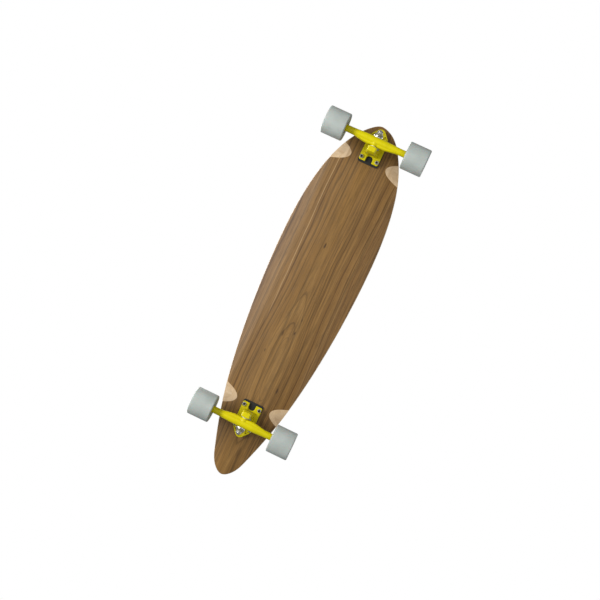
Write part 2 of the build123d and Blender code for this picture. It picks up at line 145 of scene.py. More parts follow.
# Moulded steps of a tyre's face, from its mouth outward: radius, depth below the face, rounding.
TYRE_MOUTH = 0.0134
TYRE_STEPS = [
    (0.0156, 0.0010, 0.0008), (0.0205, 0.0012, 0.0006), (0.0215, 0.0017, 0.0004),
    (0.0252, 0.0017, 0.0006), (0.0275, 0.0, 0.0012),
]

# Section of a bearing's seal: radius, and distance from the middle of the bearing.
SEAL = [
    (0.0092, 0.0026), (0.0092, 0.00305), (0.0088, 0.0031), (0.0086, 0.0029), (0.0074, 0.0029),
    (0.0072, 0.0031), (0.0068, 0.0031), (0.00645, 0.0030), (0.00645, 0.0026),
]

# ---- veneer: right is where Y is negative ----
SEAM_OFFSET = 0.068         # pale joint between two leaves of veneer, to the right of the middle line
HEART_Y = 0.008             # middle line of the growth rings
HEART_DEPTH = 0.030         # heart of the log below the veneer, away from the long arches
HEART_RISE = 0.027          # how much nearer the heart comes at the arches
ARCH_X = -0.185             # where it is nearest
ARCH_SHARPNESS = 52.0       # how soon it sinks again along the deck, per square metre
RING_SKEW = 0.35            # makes the rings finer on one side of the heart than on the other
KNOT_SQUEEZE = (0.33, 1, 0.2)   # knots are drawn out along the grain
KNOT_BEND = 0.75            # how far grain lines part around a knot

# ---- stage ----
FLOOR_REACH = 6
FLOOR_FADE_START = 0.7
FLOOR_FADE_END = 2.4
LIGHT_TARGET = Vector((0, 0, 0.08))

CAMERA_PLACE = Vector((0.0036, 0.1598, -2.323))
CAMERA_FORWARD = Vector((-0.0018, -0.0683, 0.9977))
CAMERA_UP = Vector((0.9040, -0.4266, -0.0275))
CAMERA_LENS = 58.6


# ---- shader building blocks ----
def add(tree, kind, out=0, settings=None, **inputs):
    """Adds a shader node and returns one of its outputs. An input is a value or a socket."""
    node = tree.nodes.new("ShaderNode" + kind)
    for name, value in (settings or {}).items():
        setattr(node, name, value)
    for name, value in inputs.items():
        feed(tree, node.inputs[name.replace("_", " ")], value)
    return node.outputs[out]


def feed(tree, socket, value):
    """Links a socket to another one, or sets its value."""
    if isinstance(value, bpy.types.NodeSocket):
        tree.links.new(value, socket)
    else:
        socket.default_value = value


def math_node(tree, operation, *values, clamp=False):
    node = tree.nodes.new("ShaderNodeMath")
    node.operation = operation
    node.use_clamp = clamp
    for socket, value in zip(node.inputs, values):
        feed(tree, socket, value)
    return node.outputs[0]


def mix(tree, factor, first, second, blend="MIX"):
    node = tree.nodes.new("ShaderNodeMix")
    node.data_type = "RGBA"
    node.blend_type = blend
    feed(tree, node.inputs[0], factor)
    feed(tree, node.inputs[6], first)
    feed(tree, node.inputs[7], second)
    return node.outputs[2]


def ramp(tree, factor, *stops):
    """Colour ramp from (position, colour) stops; a number stands for a grey."""
    node = tree.nodes.new("ShaderNodeValToRGB")
    elements = node.color_ramp.elements
    while len(elements) < len(stops):
        elements.new(0.5)
    for element, (position, colour) in zip(elements, stops):
        element.position = position
        element.color = (colour, colour, colour, 1) if isinstance(colour, float) else (*colour, 1)
    feed(tree, node.inputs[0], factor)
    return node.outputs[0]


def remap(tree, value, low, high, to_low=0.0, to_high=1.0):
    return add(tree, "MapRange", Value=value, From_Min=low, From_Max=high, To_Min=to_low, To_Max=to_high)


def place(tree, stretch=(1, 1, 1), shift=(0, 0, 0)):
    """Position in the row frame, scaled along each axis."""
    position = add(tree, "TexCoord", out=3)
    return add(tree, "Mapping", Vector=position, Scale=stretch, Location=shift)


def noise(tree, vector, scale=1.0, detail=4.0, roughness=0.5, distortion=0.0):
    return add(tree, "TexNoise", Vector=vector, Scale=scale, Detail=detail, Roughness=roughness,
               Distortion=distortion)


def bump(tree, height, distance, strength=1.0, normal=None):
    node = tree.nodes.new("ShaderNodeBump")
    feed(tree, node.inputs["Strength"], strength)
    feed(tree, node.inputs["Distance"], distance)
    feed(tree, node.inputs["Height"], height)
    if normal is not None:
        feed(tree, node.inputs["Normal"], normal)
    return node.outputs[0]


def material(name, build, **uniform):
    """Material whose build function returns the sockets that vary; the rest are plain values."""
    made = bpy.data.materials.new(name)
    made.use_nodes = True
    tree = made.node_tree
    tree.nodes.clear()
    shader = tree.nodes.new("ShaderNodeBsdfPrincipled")
    output = tree.nodes.new("ShaderNodeOutputMaterial")
    tree.links.new(shader.outputs[0], output.inputs[0])
    for key, value in {**uniform, **build(tree)}.items():
        feed(tree, shader.inputs[key.replace("_", " ")], value)
    return made


# ---- materials ----
# Knots in the lower veneer: place along and across the deck, size, darkness.
KNOTS = [
    (0.148, -0.008, 0.012, 0.85), (-0.045, 0.020, 0.007, 0.6), (-0.082, 0.017, 0.008, 0.9),
    (-0.094, -0.010, 0.012, 0.6), (-0.151, -0.033, 0.008, 0.6), (-0.231, 0.039, 0.013, 0.7),
    (-0.411, 0.017, 0.024, 0.35),
]


def knot_pull(tree, position, y, across):
    """Grain lines part around each knot. Returns the bent lines and the knots' dark cores."""
    cores = None
    for knot_x, knot_y, size, shade in KNOTS:
        offset = add(tree, "VectorMath", settings={"operation": "SUBTRACT"}, Vector=position)
        offset.node.inputs[1].default_value = (knot_x, knot_y, UNDERSIDE_HEIGHT)
        squeezed = add(tree, "VectorMath", settings={"operation": "MULTIPLY"}, Vector=offset)
        squeezed.node.inputs[1].default_value = KNOT_SQUEEZE
        length = add(tree, "VectorMath", out=1, settings={"operation": "LENGTH"}, Vector=squeezed)
        near = remap(tree, length, 0, size, 1, 0)
        near = math_node(tree, "MULTIPLY", near, near)
        beside = math_node(tree, "SUBTRACT", y, knot_y)
        parting = math_node(tree, "MULTIPLY", near, beside)
        across = math_node(tree, "MULTIPLY_ADD", parting, -KNOT_BEND, across)
        core = remap(tree, length, size * 0.10, size * 0.26, shade, 0)
        cores = core if cores is None else math_node(tree, "ADD", cores, core)
    return across, cores


def walnut(tree):
    """Flat-cut walnut veneer: growth rings opened into long arches, streaks, pores and small knots."""
    position = add(tree, "TexCoord", out=3)
    axes = tree.nodes.new("ShaderNodeSeparateXYZ")
    tree.links.new(position, axes.inputs[0])
    y = axes.outputs[1]

    wander = remap(tree, noise(tree, place(tree, (1.6, 3, 3)), detail=2), 0.3, 0.7, -0.010, 0.010)
    ripple = remap(tree, noise(tree, place(tree, (7, 26, 26)), detail=3), 0.3, 0.7, -0.0016, 0.0016)
    across = math_node(tree, "ADD", math_node(tree, "ADD", y, wander), ripple)
    across, cores = knot_pull(tree, position, y, across)

    # Distance from the heart of the log: nearly straight lines at the sides, long arches in the middle.
    beyond = math_node(tree, "SUBTRACT", axes.outputs[0], ARCH_X)
    spread = math_node(tree, "MULTIPLY", math_node(tree, "MULTIPLY", beyond, beyond), -ARCH_SHARPNESS)
    heart = math_node(tree, "MULTIPLY_ADD", math_node(tree, "EXPONENT", spread), -HEART_RISE, HEART_DEPTH)
    sideways = math_node(tree, "SUBTRACT", across, HEART_Y)
    squares = math_node(tree, "ADD", math_node(tree, "MULTIPLY", sideways, sideways),
                        math_node(tree, "MULTIPLY", heart, heart))
    radius = math_node(tree, "SQRT", squares)
    skewed = math_node(tree, "MULTIPLY_ADD", sideways, RING_SKEW, radius)
    rings = add(tree, "TexNoise", settings={"noise_dimensions": "1D"}, W=skewed, Scale=70.0, Detail=4.0,
                Roughness=0.6)
    lines = add(tree, "TexNoise", settings={"noise_dimensions": "1D"}, W=skewed, Scale=330.0, Detail=3.0,
                Roughness=0.6)
    streak = noise(tree, place(tree, (2.4, 170, 170), (1, 4, 2)), detail=4, roughness=0.6)
    dash = noise(tree, place(tree, (15, 240, 240), (5, 2, 9)), detail=3, roughness=0.6)
    fibre = noise(tree, place(tree, (14, 900, 900)), detail=5, roughness=0.7)
    cloud = noise(tree, place(tree, (3, 9, 9)), detail=4, roughness=0.55)

    tone = ramp(tree, rings, (0.30, (0.150, 0.073, 0.021)), (0.45, (0.215, 0.113, 0.031)),
                (0.56, (0.245, 0.133, 0.039)), (0.74, (0.290, 0.166, 0.054)))
    tone = mix(tree, 0.8, tone, ramp(tree, dash, (0.30, 0.70), (0.50, 1.0), (0.70, 1.16)), "MULTIPLY")
    tone = mix(tree, 0.9, tone, ramp(tree, lines, (0.32, 0.60), (0.44, 1.0), (0.75, 1.10)), "MULTIPLY")
    tone = mix(tree, 0.9, tone, ramp(tree, streak, (0.30, 0.62), (0.47, 1.0), (0.72, 1.16)), "MULTIPLY")
    tone = mix(tree, 0.5, tone, ramp(tree, fibre, (0.3, 0.80), (0.7, 1.16)), "MULTIPLY")
    drift = ramp(tree, cloud, (0.3, (0.90, 0.88, 0.84)), (0.7, (1.10, 1.11, 1.12)))
    tone = mix(tree, 0.7, tone, drift, "MULTIPLY")

    # Painted sheen towards the right edge: less orange and bluer. Painted shade towards the left edge: darker and
    # warmer.
    right_edge_sheen = remap(tree, y, -0.04, -0.11, 0, 1)
    tone = mix(tree, right_edge_sheen, tone, (0.96, 1.01, 1.38, 1), "MULTIPLY")
    left_edge_shade = remap(tree, y, 0.02, 0.11, 0, 1)
    tone = mix(tree, left_edge_shade, tone, (0.93, 0.90, 0.86, 1), "MULTIPLY")
    seam = math_node(tree, "ABSOLUTE", math_node(tree, "ADD", across, SEAM_OFFSET))
    seam = remap(tree, seam, 0.0004, 0.0014, 0.6, 0)
    seam = math_node(tree, "MULTIPLY", seam, remap(tree, axes.outputs[0], -0.10, 0.0, 0, 1))
    tone = mix(tree, seam, tone, (0.48, 0.31, 0.15, 1))

    pores = noise(tree, place(tree, (45, 1500, 1500), (3, 1, 7)), detail=2, roughness=0.4)
    pores = ramp(tree, pores, (0.62, 0.0), (0.70, 1.0))
    tone = mix(tree, math_node(tree, "MULTIPLY", pores, 0.45), tone, (0.06, 0.03, 0.012, 1))
    tone = mix(tree, cores, tone, (0.045, 0.022, 0.009, 1))

    rough = ramp(tree, fibre, (0.3, 0.36), (0.7, 0.48))
    relief = math_node(tree, "SUBTRACT", math_node(tree, "MULTIPLY", fibre, 0.5), pores)
    return {"Base_Color": tone, "Roughness": rough, "Normal": bump(tree, relief, 0.00012, 0.5)}


def maple(lengthwise, shade):
    """Sliced maple: pale, with faint rings, short flecks and a silky sheen."""
    def build(tree):
        along, over = (5, 70) if lengthwise else (70, 5)
        figure = noise(tree, place(tree, (along, over, 70)), detail=4, roughness=0.6, distortion=0.6)
        fibre_along, fibre_over = (30, 1100) if lengthwise else (1100, 30)
        fibre = noise(tree, place(tree, (fibre_along, fibre_over, 1100)), detail=4, roughness=0.7)
        fleck = noise(tree, place(tree, (fibre_along * 4, fibre_over * 0.7, 600), (2, 5, 1)), detail=2)
        tone = ramp(tree, figure, (0.3, (0.50, 0.335, 0.185)), (0.5, (0.600, 0.430, 0.255)),
                    (0.7, (0.69, 0.520, 0.335)))
        tone = mix(tree, 1.0, tone, (shade, shade * 0.985, shade * 0.96, 1), "MULTIPLY")
        tone = mix(tree, 0.5, tone, ramp(tree, fibre, (0.3, 0.84), (0.7, 1.12)), "MULTIPLY")
        flecks = ramp(tree, fleck, (0.64, 0.0), (0.72, 0.45))
        tone = mix(tree, flecks, tone, (0.36, 0.22, 0.11, 1))
        rough = ramp(tree, fibre, (0.3, 0.42), (0.7, 0.58))
        return {"Base_Color": tone, "Roughness": rough, "Normal": bump(tree, fibre, 0.0001, 0.4)}
    return build


def yellow_paint(tree):
    """Powder coat: slight orange peel, a little dust in it, a painted highlight on its edges and painted shade in
    its hollows.
    """
    peel = noise(tree, place(tree), scale=900, detail=2, roughness=0.4)
    cast = noise(tree, place(tree), scale=140, detail=5, roughness=0.6)
    drift = noise(tree, place(tree), scale=28, detail=3)
    specks = noise(tree, place(tree), scale=2600, detail=1)
    tone = ramp(tree, drift, (0.3, (0.610, 0.525, 0.000)), (0.7, (0.700, 0.610, 0.000)))
    edge = add(tree, "NewGeometry", out=7)
    # Painted highlight: paler colour on convex edges, from the pointiness.
    edge_highlight = ramp(tree, edge, (0.53, 0.0), (0.63, 0.45))
    tone = mix(tree, edge_highlight, tone, (0.82, 0.78, 0.12, 1))
    # Painted shade: darker colour in concave hollows, from the pointiness.
    hollow_shade = ramp(tree, edge, (0.38, 0.40), (0.48, 0.0))
    tone = mix(tree, hollow_shade, tone, (0.36, 0.29, 0.002, 1))
    tone = mix(tree, ramp(tree, specks, (0.70, 0.0), (0.76, 0.5)), tone, (0.45, 0.38, 0.02, 1))
    height = math_node(tree, "MULTIPLY_ADD", cast, 1.5, peel)
    return {"Base_Color": tone, "Roughness": ramp(tree, cast, (0.3, 0.30), (0.7, 0.42)),
            "Normal": bump(tree, height, 0.00012, 0.55)}


def metal(colour, streak, low, high):
    """Plated or ground steel with fine tool marks and faint smudges."""
    def build(tree):
        marks = noise(tree, place(tree, streak), detail=4, roughness=0.7)
        smudge = noise(tree, place(tree), scale=90, detail=4, roughness=0.6)
        dark = tuple(value * 0.82 for value in colour)
        tone = ramp(tree, smudge, (0.3, dark), (0.7, colour))
        rough = math_node(tree, "MULTIPLY_ADD", smudge, 0.15, ramp(tree, marks, (0.3, low), (0.7, high)))
        return {"Base_Color": tone, "Roughness": rough, "Normal": bump(tree, marks, 0.00006, 0.5)}
    return build


def grip(tree):
    """Silicon carbide grit in black resin."""
    cells = add(tree, "TexVoronoi", out=0, Vector=place(tree), Scale=1500.0, Randomness=1.0)
    shade = add(tree, "TexVoronoi", out=1, Vector=place(tree), Scale=1500.0, Randomness=1.0)
    grain = noise(tree, place(tree), scale=1100, detail=4, roughness=0.7)
    wear = noise(tree, place(tree, (4, 7, 7)), detail=4, roughness=0.6)
    glint = ramp(tree, add(tree, "SeparateColor", Color=shade), (0.86, 0.0), (0.95, 1.0))
    tone = ramp(tree, grain, (0.3, (0.007, 0.007, 0.008)), (0.7, (0.030, 0.030, 0.032)))
    tone = mix(tree, glint, tone, (0.16, 0.16, 0.17, 1))
    tone = mix(tree, 0.6, tone, ramp(tree, wear, (0.35, 0.8), (0.7, 1.7)), "MULTIPLY")
    rough = ramp(tree, glint, (0.0, 0.88), (1.0, 0.35))
    height = math_node(tree, "SUBTRACT", grain, math_node(tree, "MULTIPLY", cells, 0.8))
    return {"Base_Color": tone, "Roughness": rough, "Normal": bump(tree, height, 0.0006, 0.9)}


def rubber(dark, light, scale=350.0):
    """Black rubber with a fine grain and a little dust."""
    def build(tree):
        grain = noise(tree, place(tree), scale=scale, detail=5, roughness=0.65)
        dust = noise(tree, place(tree), scale=40, detail=4)
        tone = ramp(tree, grain, (0.3, dark), (0.7, light))
        tone = mix(tree, 0.5, tone, ramp(tree, dust, (0.35, 0.85), (0.7, 1.35)), "MULTIPLY")
        return {"Base_Color": tone, "Roughness": ramp(tree, grain, (0.3, 0.55), (0.7, 0.8)),
                "Normal": bump(tree, grain, 0.0002, 0.5)}
    return build


def urethane(dark, light, rough):
    """Poured urethane: soft colour drift, faint moulding bloom and fine road scuffs."""
    def build(tree):
        drift = noise(tree, place(tree), scale=35, detail=3)
        bloom = noise(tree, place(tree), scale=260, detail=5, roughness=0.65)
        scuff = noise(tree, place(tree, (260, 1800, 260)), detail=3, roughness=0.6)
        tone = ramp(tree, drift, (0.3, dark), (0.7, light))
        tone = mix(tree, 0.35, tone, ramp(tree, bloom, (0.3, 0.93), (0.7, 1.05)), "MULTIPLY")
        gloss = ramp(tree, bloom, (0.3, rough - 0.06), (0.7, rough + 0.08))
        height = math_node(tree, "MULTIPLY_ADD", scuff, 0.5, bloom)
        return {"Base_Color": tone, "Roughness": gloss, "Normal": bump(tree, height, 0.0001, 0.35)}
    return build


MATERIALS = {
    "walnut_veneer": material("walnut_veneer", walnut, Specular_IOR_Level=0.28),
    "maple_long": material("maple_long", maple(True, 1.0), Coat_Weight=0.2, Coat_Roughness=0.35),
    "maple_cross": material("maple_cross", maple(False, 0.9), Coat_Weight=0.2, Coat_Roughness=0.35),
    "grip_tape": material("grip_tape", grip),
    "riser_rubber": material("riser_rubber", rubber((0.004, 0.004, 0.004), (0.010, 0.010, 0.010))),
    "yellow_paint": material("yellow_paint", yellow_paint, Specular_IOR_Level=0.22),
    "zinc_steel": material("zinc_steel", metal((0.66, 0.66, 0.64), (500, 500, 500), 0.20, 0.34),
                           Metallic=1.0),
    "black_steel": material("black_steel", metal((0.045, 0.043, 0.042), (500, 500, 500), 0.30, 0.45),
                            Metallic=0.9),
    "bearing_steel": material("bearing_steel", metal((0.72, 0.72, 0.72), (300, 2500, 300), 0.14, 0.26),
                              Metallic=1.0),
    "bearing_shield": material("bearing_shield", rubber((0.012, 0.012, 0.013), (0.028, 0.028, 0.030), 500)),
    "bushing_urethane": material("bushing_urethane", urethane((0.50, 0.58, 0.16), (0.62, 0.68, 0.24), 0.34),
                                 Subsurface_Weight=0.3, Subsurface_Scale=0.004),
    "pivot_urethane": material("pivot_urethane", urethane((0.70, 0.70, 0.62), (0.82, 0.82, 0.75), 0.4)),
    "wheel_urethane": material("wheel_urethane",
                               urethane((0.395, 0.435, 0.405), (0.455, 0.495, 0.465), 0.45),
                               Subsurface_Weight=0.12, Subsurface_Scale=0.004),
    "wheel_core": material("wheel_core", urethane((0.62, 0.63, 0.60), (0.72, 0.73, 0.70), 0.38)),
}


def paint(piece, name):
    piece.data.materials.clear()
    piece.data.materials.append(MATERIALS[name])


# ---- mesh building blocks ----
def new_piece(name, mesh, body, slot, finish=None, stands_for=()):
    """A visible piece that rides on a body, painted with its finish or else its slot's material, that hides the
    CAD nodes it stands for.
    """
    piece = bpy.data.objects.new(name, mesh)
    bpy.context.scene.collection.objects.link(piece)
    paint(piece, finish or slot)
    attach(piece, body)
    if stands_for:
        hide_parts(*stands_for)
    return piece


def smooth(mesh, degrees=35):
    """Smooth shading with sharp edges kept."""
    mesh.shade_smooth()
    mesh.set_sharp_from_angle(angle=math.radians(degrees))


def copied(node):
    """The CAD node's mesh as a bmesh with its seams closed."""
    shape = bmesh.new()
    shape.from_mesh(nodes[node].data)
    bmesh.ops.remove_doubles(shape, verts=shape.verts, dist=2e-6)
    return shape


def to_mesh(shape, name, degrees=35):
    """Turns a bmesh into a smooth-shaded mesh, and frees it."""
    mesh = bpy.data.meshes.new(name)
    bmesh.ops.recalc_face_normals(shape, faces=shape.faces)
    shape.to_mesh(mesh)
    shape.free()
    if "custom_normal" in mesh.attributes:
        mesh.attributes.remove(mesh.attributes["custom_normal"])
    smooth(mesh, degrees)
    return mesh


def casting(node, voxel, passes):
    """The node's shape with every edge softened, as on a coated casting or a moulded pad."""
    mesh = to_mesh(copied(node), node + "_cast")
    blank = bpy.data.objects.new(node + "_blank", mesh)
    bpy.context.scene.collection.objects.link(blank)
    remesh = blank.modifiers.new("remesh", "REMESH")
    remesh.mode = "VOXEL"
    remesh.voxel_size = voxel
    soften = blank.modifiers.new("soften", "SMOOTH")
    soften.factor = 0.5
    soften.iterations = passes
    graph = bpy.context.evaluated_depsgraph_get()
    result = bpy.data.meshes.new_from_object(blank.evaluated_get(graph))
    bpy.data.objects.remove(blank)
    result.shade_smooth()
    return result


def skin(shape, rings, turn, segments=72, loop=False):
    """Adds a surface about Z from (radius, height) rings; a radius may be a function of the angle.

    A loop joins the last ring to the first, as in a washer. Otherwise both ends get a cap."""
    rows = []
    for radius, height in rings:
        row = []
        for step in range(segments):
            angle = 2 * math.pi * step / segments
            reach = radius(angle) if callable(radius) else radius
            point = Vector((reach * math.cos(angle), reach * math.sin(angle), height))
            row.append(shape.verts.new(turn @ point))
        rows.append(row)
    pairs = list(zip(rows, rows[1:]))
    if loop:
        pairs.append((rows[-1], rows[0]))
    else:
        shape.faces.new(rows[0])
        shape.faces.new(rows[-1])
    for row, following in pairs:
        for step in range(segments):
            onward = (step + 1) % segments
            shape.faces.new((row[step], row[onward], following[onward], following[step]))
    return shape


def lathe(profile, turn, segments):
    """Ring-shaped solid: a closed profile of (radius, height) points turned about Z, then placed."""
    return skin(bmesh.new(), profile, turn, segments, loop=True)


def hexagon(flats, limit=1.0):
    """Radius of a hexagon as a function of the angle, cut to a circle of limit metres."""
    def radius(angle):
        within = (angle + math.pi / 6) % (math.pi / 3) - math.pi / 6
        return min(flats / 2 / math.cos(within), limit)
    return radius


def hexagon_rings(flats, low, high, chamfer=0.0007):
    """Rings of a hexagon bar whose corners are turned off at both ends, as on a nut."""
    corner = flats / math.sqrt(3)
    start = flats * 0.485       # the chamfer starts just inside the flats
    steps = 4
    rings = []
    for step in range(steps + 1):
        share = step / steps
        rings.append((hexagon(flats, start + (corner - start) * share), low + chamfer * share))
    return rings + [(radius, high + low - height) for radius, height in reversed(rings)]


def threaded_end(radius, thread, tip, rows_per_turn=8):
    """Rings of a shank's screw thread, up to a small lead-in at the tip."""
    length, pitch, depth = thread
    start = tip - length
    rings = [(radius, start)]
    count = round(length / pitch * rows_per_turn)
    for row in range(count + 1):
        height = start + length * row / count
        lead = max(0.0, 1.0 - (tip - height) / pitch)

        def groove(angle, height=height, lead=lead):
            phase = (height / pitch - angle / (2 * math.pi)) % 1.0
            return radius - depth * max(abs(2 * phase - 1), lead)

        rings.append((groove, height))
    return rings


def rounded(corners, steps=6):
    """Closed profile from (radius, height, corner rounding), with each corner as an arc."""
    profile = []
    for index, (across, height, rounding) in enumerate(corners):
        here = Vector((across, height))
        before = Vector(corners[index - 1][:2]) - here
        after = Vector(corners[(index + 1) % len(corners)][:2]) - here
        if rounding == 0:
            profile.append(tuple(here))
            continue
        half = before.angle(after) / 2
        reach = rounding / math.tan(half)
        bisector = (before.normalized() + after.normalized()).normalized()
        centre = here + bisector * (rounding / math.sin(half))
        start = here + before.normalized() * reach - centre
        stop = here + after.normalized() * reach - centre
        sweep = start.angle_signed(stop)
        for step in range(steps + 1):
            spoke = start.copy()
            spoke.rotate(Matrix.Rotation(-sweep * step / steps, 2))
            profile.append(tuple(centre + spoke))
    return profile


def wheel_frame(end_name, side_name):
    """Z along the axle and outboard, from the middle of the wheel's core."""
    joint = joints[end_name + "_" + side_name + "_wheel_spin"]
    side = SIDES[side_name]
    turn = Matrix.Rotation(-side * math.pi / 2, 4, "X")
    return Matrix.Translation(joint["pos_m"]) @ turn


def bolt_places(end_name):
    """Axes of a truck's four mounting bolts, in plan."""
    low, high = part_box(end_name + "_mounting_bolts")
    inset = BOLT_HEAD_RADIUS
    rows = (low.x + inset, high.x - inset)
    columns = (low.y + inset, high.y - inset)
    return [Vector((x, y)) for x in rows for y in columns]


# ---- deck ----
def underside(y):
    """Height of the deck's curved underside."""
    return UNDERSIDE_HEIGHT + CONCAVE_RADIUS - math.sqrt(CONCAVE_RADIUS ** 2 - y ** 2)


def edge_inset(height, thickness):
    """How far the rounded edge lies inside the outline, at a height above the underside."""
    inset = 0.0
    if height < LOWER_ROUND:
        inset = LOWER_ROUND - math.sqrt(LOWER_ROUND ** 2 - (LOWER_ROUND - max(height, 0)) ** 2)
    if height > thickness - UPPER_ROUND:
        rise = min(height - thickness + UPPER_ROUND, UPPER_ROUND)
        inset = UPPER_ROUND - math.sqrt(UPPER_ROUND ** 2 - rise ** 2)
    return inset


def deck_layer(node, slot, finish):
    """A layer of the deck with its part of the rounded edge."""
    shape = copied(node)
    bolts = [bolt for end_name in ENDS for bolt in bolt_places(end_name)]
    for face in shape.faces:
        face.normal_update()
    moves = []
    for vert in shape.verts:
        walls = [face for face in vert.link_faces if abs(face.normal.z) < 0.25]
        flat = vert.co.xy
        if not walls or any((flat - bolt).length < BOLT_HOLE_MARGIN for bolt in bolts):
            continue
        outward = Vector((0, 0))
        for face in walls:
            outward += face.normal.xy.normalized()
        height = vert.co.z - underside(vert.co.y)
        inset = edge_inset(height, WOOD_THICKNESS + GRIP_THICKNESS)
        if outward.length > 0.1 and inset > 0:
            moves.append((vert, outward.normalized() * inset))
    for vert, step in moves:
        vert.co.x -= step.x
        vert.co.y -= step.y
    mesh = to_mesh(shape, node + "_mesh", 30)
    return new_piece(node + "_shaped", mesh, "board", slot, finish, (node,))


deck_layer("bottom_veneer", "walnut_veneer", "walnut_veneer")
for number in range(1, 6):
    grain = "maple_long" if number % 2 else "maple_cross"
    deck_layer("maple_ply_" + str(number), "maple", grain)
deck_layer("top_veneer", "walnut_veneer", "walnut_veneer")
deck_layer("grip_tape", "grip_tape", "grip_tape")


# ---- trucks ----
for end_name in ENDS:
    plate = casting(end_name + "_baseplate", voxel=0.00055, passes=4)
    new_piece(end_name + "_baseplate_cast", plate, "board", "yellow_paint",
              stands_for=(end_name + "_baseplate",))
    arm = casting(end_name + "_hanger", voxel=0.0007, passes=6)
    new_piece(end_name + "_hanger_cast", arm, end_name + "_truck_hanger", "yellow_paint",
              stands_for=(end_name + "_hanger",))
    pad = casting(end_name + "_riser_pad", voxel=0.0006, passes=2)
    new_piece(end_name + "_riser_pad_soft", pad, "board", "riser_rubber",
              stands_for=(end_name + "_riser_pad",))


# ---- hardware ----
def span(node, turn):
    """Lowest and highest point along a frame's Z, and the largest distance from Z, of a CAD node."""
    back = turn.inverted()
    local = [back @ vert.co for vert in nodes[node].data.vertices]
    return min(p.z for p in local), max(p.z for p in local), max(p.xy.length for p in local)


def kingpin_frame(end_name):
    """Z down the kingpin from the middle of the hanger's ring."""
    joint = joints[end_name + "_truck_lean"]
    axis = Vector(joint["axis"])
    end = ENDS[end_name]
    down = Vector((end * axis.z, 0, -end * axis.x))
    across = Vector((0, 1, 0))
    turn = Matrix((across, down.cross(across), down)).transposed().to_4x4()
    return Matrix.Translation(joint["pos_m"]) @ turn


def axle_end_frame(end_name, side_name):
    """Z along the axle and outboard, from the middle of the truck."""
    joint = joints[end_name + "_" + side_name + "_wheel_spin"]
    middle = Vector((joint["pos_m"][0], 0, joint["pos_m"][2]))
    return Matrix.Translation(middle) @ Matrix.Rotation(-SIDES[side_name] * math.pi / 2, 4, "X")


def bolt_frames(end_name):
    """Z down each mounting bolt, from the top of its head."""
    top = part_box(end_name + "_mounting_bolts")[1].z
    turn = Matrix.Rotation(math.pi, 4, "X")
    return [Matrix.Translation((*bolt, top)) @ turn for bolt in bolt_places(end_name)]


def kingpin(end_name):
    """Hexagon bolt with a dished head and a threaded end."""
    turn = kingpin_frame(end_name)
    low, high, _ = span(end_name + "_kingpin", turn)
    under_head = low + KINGPIN_HEAD
    shape = bmesh.new()
    dish_radius, dish_depth = KINGPIN_DISH
    rings = [(dish_radius, low + dish_depth), (KINGPIN_RIM_RADIUS, low)]
    rings += hexagon_rings(KINGPIN_FLATS, low, under_head)
    rings += [(KINGPIN_FACE_RADIUS, under_head), (KINGPIN_RADIUS, under_head)]
    rings += threaded_end(KINGPIN_RADIUS, KINGPIN_THREAD, high)
    rings += [(KINGPIN_RADIUS - KINGPIN_TIP, high)]
    skin(shape, rings, turn)
    mesh = to_mesh(shape, end_name + "_kingpin_mesh")
    new_piece(end_name + "_kingpin_threaded", mesh, "board", "zinc_steel",
              stands_for=(end_name + "_kingpin",))


def locking_nut(shape, turn, flats, bore, low, high, collar):
    """Hexagon nut with a turned collar that holds the locking ring."""
    rings = [(bore, low), (flats * NUT_FACE_SHARE, low)]
    rings += hexagon_rings(flats, low + NUT_FACE_STEP, high - collar)
    rim = flats * COLLAR_SHARE
    rings += [(rim, high - collar + NUT_FACE_STEP)]
    rings += [(rim - inward, high - depth) for inward, depth in COLLAR_LIP]
    rings += [(bore, high - RING_SEAT)]
    skin(shape, rings, turn, 72, loop=True)


def locking_ring(shape, turn, flats, bore, high):
    """Nylon ring inside a nut's collar, standing just proud of the recess."""
    outer = flats * COLLAR_SHARE - COLLAR_WALL
    foot = high - RING_DEPTH
    top = high - RING_TOP
    profile = rounded([(bore, foot, 0), (outer, foot, 0), (outer, top, 0.0002), (bore, top, 0.0003)], 3)
    skin(shape, profile, turn, 48, loop=True)


def nut_set(node, body, shape, inserts, nylon="pivot_urethane"):
    """A set of nuts that stands for its CAD node, and the nylon rings in them."""
    new_piece(node + "_turned", to_mesh(shape, node + "_mesh"), body, "zinc_steel", stands_for=(node,))
    new_piece(node + "_inserts", to_mesh(inserts, node + "_insert_mesh"), body, nylon)


def nuts(end_name):
    """Kingpin nut, axle nuts and mounting nuts, with their nylon locking rings."""
    turn = kingpin_frame(end_name)
    low, high, _ = span(end_name + "_kingpin_nut", turn)
    shape = bmesh.new()
    inserts = bmesh.new()
    locking_nut(shape, turn, KINGPIN_FLATS, KINGPIN_RADIUS, low, high, KINGPIN_COLLAR)
    locking_ring(inserts, turn, KINGPIN_FLATS, KINGPIN_RADIUS, high)
    nut_set(end_name + "_kingpin_nut", "board", shape, inserts)

    shape = bmesh.new()
    inserts = bmesh.new()
    for side_name in SIDES:
        turn = axle_end_frame(end_name, side_name)
        _, tip, _ = span(end_name + "_axle_nuts", turn)
        locking_nut(shape, turn, AXLE_NUT_FLATS, AXLE_RADIUS, tip - AXLE_NUT_HEIGHT, tip, AXLE_COLLAR)
        locking_ring(inserts, turn, AXLE_NUT_FLATS, AXLE_RADIUS, tip)
    nut_set(end_name + "_axle_nuts", end_name + "_truck_hanger", shape, inserts)

    shape = bmesh.new()
    inserts = bmesh.new()
    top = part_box(end_name + "_mounting_bolts")[1].z
    low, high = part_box(end_name + "_mounting_nuts")
    for turn in bolt_frames(end_name):
        locking_nut(shape, turn, BOLT_NUT_FLATS, BOLT_RADIUS, top - high.z, top - low.z, BOLT_COLLAR)
        locking_ring(inserts, turn, BOLT_NUT_FLATS, BOLT_RADIUS, top - low.z)
    nut_set(end_name + "_mounting_nuts", "board", shape, inserts, "bearing_shield")


